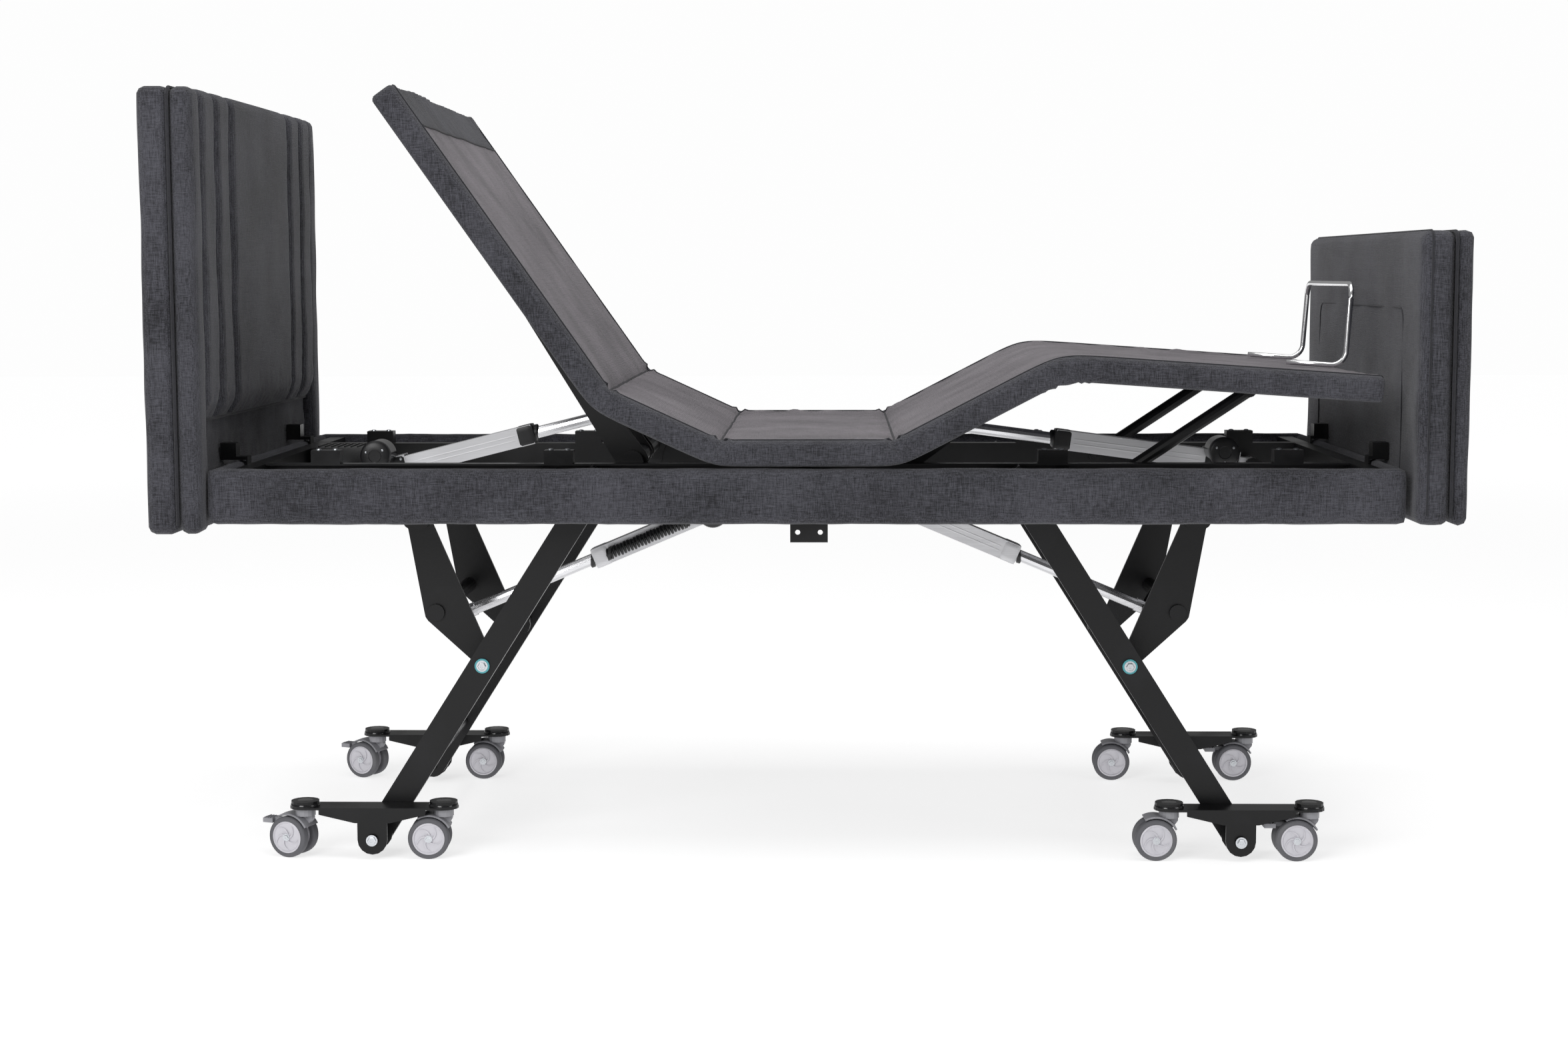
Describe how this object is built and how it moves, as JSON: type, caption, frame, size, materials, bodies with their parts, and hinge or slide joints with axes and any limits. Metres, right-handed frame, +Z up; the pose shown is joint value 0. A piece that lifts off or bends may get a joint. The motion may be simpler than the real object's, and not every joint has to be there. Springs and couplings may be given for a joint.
{
  "type": "adjustable bed base",
  "caption": "Long single profiling bed base with five upholstered deck sections on a steel chassis, scissor leg frames, caster bogies, padded headboard and footboard.",
  "frame": {"origin": "Centre of the bed on the floor, under the middle of its length and width.", "axes": "+X towards the foot, +Y towards the left-hand side of someone lying on the bed, +Z up."},
  "size_m": [2.242, 0.984, 1.3577],
  "materials": {
    "charcoal_fabric": "woven, dark charcoal",
    "taupe_fabric": "woven, taupe grey",
    "black_steel": "satin black powder coat",
    "aluminium": "satin",
    "chrome": "polished",
    "grey_plastic": "satin grey",
    "tyre": "grey tread",
    "black_plastic": "satin black"
  },
  "bodies": {
    "chassis": {"chassis_frame": "black_steel", "surround_right": "charcoal_fabric", "surround_left": "charcoal_fabric", "surround_head": "charcoal_fabric", "surround_foot": "charcoal_fabric", "headboard_pad": "charcoal_fabric", "headboard_panel": "charcoal_fabric", "footboard_pad": "charcoal_fabric", "footboard_panel": "charcoal_fabric", "seat_section": "taupe_fabric", "control_box": "black_plastic"},
    "lumbar": {"lumbar_section": "taupe_fabric"},
    "back": {"back_section": "taupe_fabric"},
    "thigh": {"thigh_section": "taupe_fabric"},
    "calf": {"calf_section": "taupe_fabric", "mattress_retainer": "chrome"},
    "back_arm": {"back_lift_arm": "black_steel"},
    "leg_arm": {"leg_lift_arm": "black_steel"},
    "strut_right": {"calf_strut_right": "black_steel"},
    "strut_left": {"calf_strut_left": "black_steel"},
    "back_housing": {"back_actuator_housing": "aluminium"},
    "back_rod": {"back_actuator_rod": "aluminium"},
    "leg_housing": {"leg_actuator_housing": "aluminium"},
    "leg_rod": {"leg_actuator_rod": "aluminium"},
    "head_link": {"head_link_frame": "black_steel"},
    "head_legs": {"head_leg_frame": "black_steel"},
    "head_lift_rod": {"head_lift_actuator_rod": "aluminium"},
    "head_lift_housing": {"head_lift_actuator_housing": "aluminium", "head_curly_cord": "black_plastic"},
    "head_right_bogie": {"head_right_bogie": "black_steel"},
    "head_right_outer_fork": {"head_right_outer_fork": "grey_plastic"},
    "head_right_outer_wheels": {"head_right_outer_wheels": "tyre"},
    "head_right_pedal": {"head_right_brake_pedal": "grey_plastic"},
    "head_right_inner_fork": {"head_right_inner_fork": "grey_plastic"},
    "head_right_inner_wheels": {"head_right_inner_wheels": "tyre"},
    "head_left_bogie": {"head_left_bogie": "black_steel"},
    "head_left_outer_fork": {"head_left_outer_fork": "grey_plastic"},
    "head_left_outer_wheels": {"head_left_outer_wheels": "tyre"},
    "head_left_pedal": {"head_left_brake_pedal": "grey_plastic"},
    "head_left_inner_fork": {"head_left_inner_fork": "grey_plastic"},
    "head_left_inner_wheels": {"head_left_inner_wheels": "tyre"},
    "foot_link": {"foot_link_frame": "black_steel"},
    "foot_legs": {"foot_leg_frame": "black_steel"},
    "foot_lift_rod": {"foot_lift_actuator_rod": "aluminium"},
    "foot_lift_housing": {"foot_lift_actuator_housing": "aluminium", "foot_curly_cord": "black_plastic"},
    "foot_right_bogie": {"foot_right_bogie": "black_steel"},
    "foot_right_outer_fork": {"foot_right_outer_fork": "grey_plastic"},
    "foot_right_outer_wheels": {"foot_right_outer_wheels": "tyre"},
    "foot_right_pedal": {"foot_right_brake_pedal": "grey_plastic"},
    "foot_right_inner_fork": {"foot_right_inner_fork": "grey_plastic"},
    "foot_right_inner_wheels": {"foot_right_inner_wheels": "tyre"},
    "foot_left_bogie": {"foot_left_bogie": "black_steel"},
    "foot_left_outer_fork": {"foot_left_outer_fork": "grey_plastic"},
    "foot_left_outer_wheels": {"foot_left_outer_wheels": "tyre"},
    "foot_left_pedal": {"foot_left_brake_pedal": "grey_plastic"},
    "foot_left_inner_fork": {"foot_left_inner_fork": "grey_plastic"},
    "foot_left_inner_wheels": {"foot_left_inner_wheels": "tyre"}
  },
  "joints": [
    {"name": "head_lift", "type": "hinge", "parent": "chassis", "child": "head_link", "pos_m": [-0.708, 0, 0.598], "axis": [0, -1, 0], "range_deg": [-3, 49]},
    {"name": "head_leg_swing", "type": "hinge", "parent": "head_link", "child": "head_legs", "pos_m": [-0.57589, 0, 0.33984], "axis": [0, -1, 0], "range_deg": [-85.72, 6.19]},
    {"name": "head_lift_eye", "type": "hinge", "parent": "head_link", "child": "head_lift_rod", "pos_m": [-0.652, 0, 0.394], "axis": [0, -1, 0], "range_deg": [-53.79, 4.23]},
    {"name": "head_lift_stroke", "type": "slide", "parent": "head_lift_rod", "child": "head_lift_housing", "axis": [0.922, 0, 0.3872], "range_m": [-0.17022, 0.01324]},
    {"name": "head_right_bogie_level", "type": "hinge", "parent": "head_legs", "child": "head_right_bogie", "pos_m": [-0.76829, -0.3455, 0.0355], "axis": [0, -1, 0], "range_deg": [-3.19, 36.72]},
    {"name": "head_right_outer_swivel", "type": "hinge", "parent": "head_right_bogie", "child": "head_right_outer_fork", "pos_m": [-0.89204, -0.3455, 0.08], "axis": [0, 0, 1], "continuous": true},
    {"name": "head_right_outer_roll", "type": "hinge", "parent": "head_right_outer_fork", "child": "head_right_outer_wheels", "pos_m": [-0.91553, -0.33695, 0.037], "axis": [0.342, 0.9397, 0], "continuous": true},
    {"name": "head_right_brake", "type": "hinge", "parent": "head_right_outer_fork", "child": "head_right_pedal", "pos_m": [-0.91083, -0.33866, 0.0635], "axis": [-0.342, -0.9397, 0], "range_deg": [-1, 9]},
    {"name": "head_right_inner_swivel", "type": "hinge", "parent": "head_right_bogie", "child": "head_right_inner_fork", "pos_m": [-0.64454, -0.3455, 0.08], "axis": [0, 0, 1], "continuous": true},
    {"name": "head_right_inner_roll", "type": "hinge", "parent": "head_right_inner_fork", "child": "head_right_inner_wheels", "pos_m": [-0.66952, -0.34637, 0.037], "axis": [-0.0349, 0.9994, 0], "continuous": true},
    {"name": "head_left_bogie_level", "type": "hinge", "parent": "head_legs", "child": "head_left_bogie", "pos_m": [-0.76829, 0.3455, 0.0355], "axis": [0, -1, 0], "range_deg": [-3.19, 36.72]},
    {"name": "head_left_outer_swivel", "type": "hinge", "parent": "head_left_bogie", "child": "head_left_outer_fork", "pos_m": [-0.89204, 0.3455, 0.08], "axis": [0, 0, 1], "continuous": true},
    {"name": "head_left_outer_roll", "type": "hinge", "parent": "head_left_outer_fork", "child": "head_left_outer_wheels", "pos_m": [-0.91487, 0.35567, 0.037], "axis": [0.4067, 0.9135, 0], "continuous": true},
    {"name": "head_left_brake", "type": "hinge", "parent": "head_left_outer_fork", "child": "head_left_pedal", "pos_m": [-0.91031, 0.35363, 0.0635], "axis": [-0.4067, -0.9135, 0], "range_deg": [-1, 9]},
    {"name": "head_left_inner_swivel", "type": "hinge", "parent": "head_left_bogie", "child": "head_left_inner_fork", "pos_m": [-0.64454, 0.3455, 0.08], "axis": [0, 0, 1], "continuous": true},
    {"name": "head_left_inner_roll", "type": "hinge", "parent": "head_left_inner_fork", "child": "head_left_inner_wheels", "pos_m": [-0.66952, 0.34637, 0.037], "axis": [0.0349, 0.9994, 0], "continuous": true},
    {"name": "foot_lift", "type": "hinge", "parent": "chassis", "child": "foot_link", "pos_m": [0.708, 0, 0.598], "axis": [0, 1, 0], "range_deg": [-3, 49]},
    {"name": "foot_leg_swing", "type": "hinge", "parent": "foot_link", "child": "foot_legs", "pos_m": [0.57589, 0, 0.33984], "axis": [0, 1, 0], "range_deg": [-85.72, 6.19]},
    {"name": "foot_lift_eye", "type": "hinge", "parent": "foot_link", "child": "foot_lift_rod", "pos_m": [0.652, 0, 0.394], "axis": [0, 1, 0], "range_deg": [-53.79, 4.23]},
    {"name": "foot_lift_stroke", "type": "slide", "parent": "foot_lift_rod", "child": "foot_lift_housing", "axis": [-0.922, 0, 0.3872], "range_m": [-0.17022, 0.01324]},
    {"name": "foot_right_bogie_level", "type": "hinge", "parent": "foot_legs", "child": "foot_right_bogie", "pos_m": [0.76829, -0.3455, 0.0355], "axis": [0, 1, 0], "range_deg": [-3.19, 36.72]},
    {"name": "foot_right_outer_swivel", "type": "hinge", "parent": "foot_right_bogie", "child": "foot_right_outer_fork", "pos_m": [0.89204, -0.3455, 0.08], "axis": [0, 0, 1], "continuous": true},
    {"name": "foot_right_outer_roll", "type": "hinge", "parent": "foot_right_outer_fork", "child": "foot_right_outer_wheels", "pos_m": [0.86704, -0.34594, 0.037], "axis": [-0.0175, 0.9998, 0], "continuous": true},
    {"name": "foot_right_brake", "type": "hinge", "parent": "foot_right_outer_fork", "child": "foot_right_pedal", "pos_m": [0.87204, -0.34585, 0.0635], "axis": [0.0175, -0.9998, 0], "range_deg": [-1, 9]},
    {"name": "foot_right_inner_swivel", "type": "hinge", "parent": "foot_right_bogie", "child": "foot_right_inner_fork", "pos_m": [0.64454, -0.3455, 0.08], "axis": [0, 0, 1], "continuous": true},
    {"name": "foot_right_inner_roll", "type": "hinge", "parent": "foot_right_inner_fork", "child": "foot_right_inner_wheels", "pos_m": [0.61954, -0.34594, 0.037], "axis": [-0.0175, 0.9998, 0], "continuous": true},
    {"name": "foot_left_bogie_level", "type": "hinge", "parent": "foot_legs", "child": "foot_left_bogie", "pos_m": [0.76829, 0.3455, 0.0355], "axis": [0, 1, 0], "range_deg": [-3.19, 36.72]},
    {"name": "foot_left_outer_swivel", "type": "hinge", "parent": "foot_left_bogie", "child": "foot_left_outer_fork", "pos_m": [0.89204, 0.3455, 0.08], "axis": [0, 0, 1], "continuous": true},
    {"name": "foot_left_outer_roll", "type": "hinge", "parent": "foot_left_outer_fork", "child": "foot_left_outer_wheels", "pos_m": [0.86704, 0.3455, 0.037], "axis": [0, 1, 0], "continuous": true},
    {"name": "foot_left_brake", "type": "hinge", "parent": "foot_left_outer_fork", "child": "foot_left_pedal", "pos_m": [0.87204, 0.3455, 0.0635], "axis": [0, -1, 0], "range_deg": [-1, 9]},
    {"name": "foot_left_inner_swivel", "type": "hinge", "parent": "foot_left_bogie", "child": "foot_left_inner_fork", "pos_m": [0.64454, 0.3455, 0.08], "axis": [0, 0, 1], "continuous": true},
    {"name": "foot_left_inner_roll", "type": "hinge", "parent": "foot_left_inner_fork", "child": "foot_left_inner_wheels", "pos_m": [0.61955, 0.34637, 0.037], "axis": [0.0349, 0.9994, 0], "continuous": true},
    {"name": "back_raise", "type": "hinge", "parent": "chassis", "child": "lumbar", "pos_m": [-0.143, 0, 0.7535], "axis": [0, 1, 0], "range_deg": [-24.7, 4]},
    {"name": "back_fold", "type": "hinge", "parent": "lumbar", "child": "back", "pos_m": [-0.33106, 0, 0.84], "axis": [0, 1, 0], "range_deg": [-30.8, 5.41]},
    {"name": "back_arm_lift", "type": "hinge", "parent": "chassis", "child": "back_arm", "pos_m": [-0.311, 0, 0.7], "axis": [0, 1, 0], "range_deg": [-55.5, 9.41]},
    {"name": "back_actuator_tilt", "type": "hinge", "parent": "chassis", "child": "back_housing", "pos_m": [-0.846, 0, 0.652], "axis": [0, 1, 0], "range_deg": [-1.5, 6.71]},
    {"name": "back_actuator_stroke", "type": "slide", "parent": "back_housing", "child": "back_rod", "axis": [0.9699, 0, 0.2434], "range_m": [-0.06235, 0.01177]},
    {"name": "leg_raise", "type": "hinge", "parent": "chassis", "child": "thigh", "pos_m": [0.154, 0, 0.7535], "axis": [0, -1, 0], "range_deg": [-27.5, 8]},
    {"name": "calf_fold", "type": "hinge", "parent": "thigh", "child": "calf", "pos_m": [0.44539, 0, 0.84995], "axis": [0, -1, 0], "range_deg": [-9.66, 32]},
    {"name": "leg_arm_lift", "type": "hinge", "parent": "chassis", "child": "leg_arm", "pos_m": [0.17, 0, 0.69], "axis": [0, -1, 0], "range_deg": [-28, 8.5]},
    {"name": "calf_strut_right_swing", "type": "hinge", "parent": "chassis", "child": "strut_right", "pos_m": [0.574, -0.232, 0.68], "axis": [0, -1, 0], "range_deg": [-26.9, 8.18]},
    {"name": "calf_strut_left_swing", "type": "hinge", "parent": "chassis", "child": "strut_left", "pos_m": [0.574, 0.232, 0.68], "axis": [0, -1, 0], "range_deg": [-26.9, 8.18]},
    {"name": "leg_actuator_tilt", "type": "hinge", "parent": "chassis", "child": "leg_housing", "pos_m": [0.838, 0, 0.675], "axis": [0, -1, 0], "range_deg": [-1.48, 3.86]},
    {"name": "leg_actuator_stroke", "type": "slide", "parent": "leg_housing", "child": "leg_rod", "axis": [-0.9914, 0, 0.1305], "range_m": [-0.02983, 0.0101]}
  ],
  "couplings": [
    {"joint": "head_leg_swing", "follows": "head_lift", "ratio": -1.729},
    {"joint": "head_lift_eye", "follows": "head_lift", "ratio": -1.0773},
    {"joint": "head_lift_stroke", "follows": "head_lift", "m_per_rad": -0.19553},
    {"joint": "head_right_bogie_level", "follows": "head_lift", "ratio": 0.729},
    {"joint": "head_left_bogie_level", "follows": "head_lift", "ratio": 0.729},
    {"joint": "foot_leg_swing", "follows": "foot_lift", "ratio": -1.729},
    {"joint": "foot_lift_eye", "follows": "foot_lift", "ratio": -1.0773},
    {"joint": "foot_lift_stroke", "follows": "foot_lift", "m_per_rad": -0.19553},
    {"joint": "foot_right_bogie_level", "follows": "foot_lift", "ratio": 0.729},
    {"joint": "foot_left_bogie_level", "follows": "foot_lift", "ratio": 0.729},
    {"joint": "back_fold", "follows": "back_raise", "ratio": 1.2267},
    {"joint": "back_arm_lift", "follows": "back_raise", "ratio": 2.2267},
    {"joint": "back_actuator_tilt", "follows": "back_raise", "ratio": -0.25128},
    {"joint": "back_actuator_stroke", "follows": "back_raise", "m_per_rad": 0.14},
    {"joint": "calf_fold", "follows": "leg_raise", "ratio": -1.1455},
    {"joint": "leg_arm_lift", "follows": "leg_raise", "ratio": 1},
    {"joint": "calf_strut_right_swing", "follows": "leg_raise", "ratio": 0.96},
    {"joint": "calf_strut_left_swing", "follows": "leg_raise", "ratio": 0.96},
    {"joint": "leg_actuator_tilt", "follows": "leg_raise", "ratio": -0.12217},
    {"joint": "leg_actuator_stroke", "follows": "leg_raise", "m_per_rad": 0.05798}
  ]
}
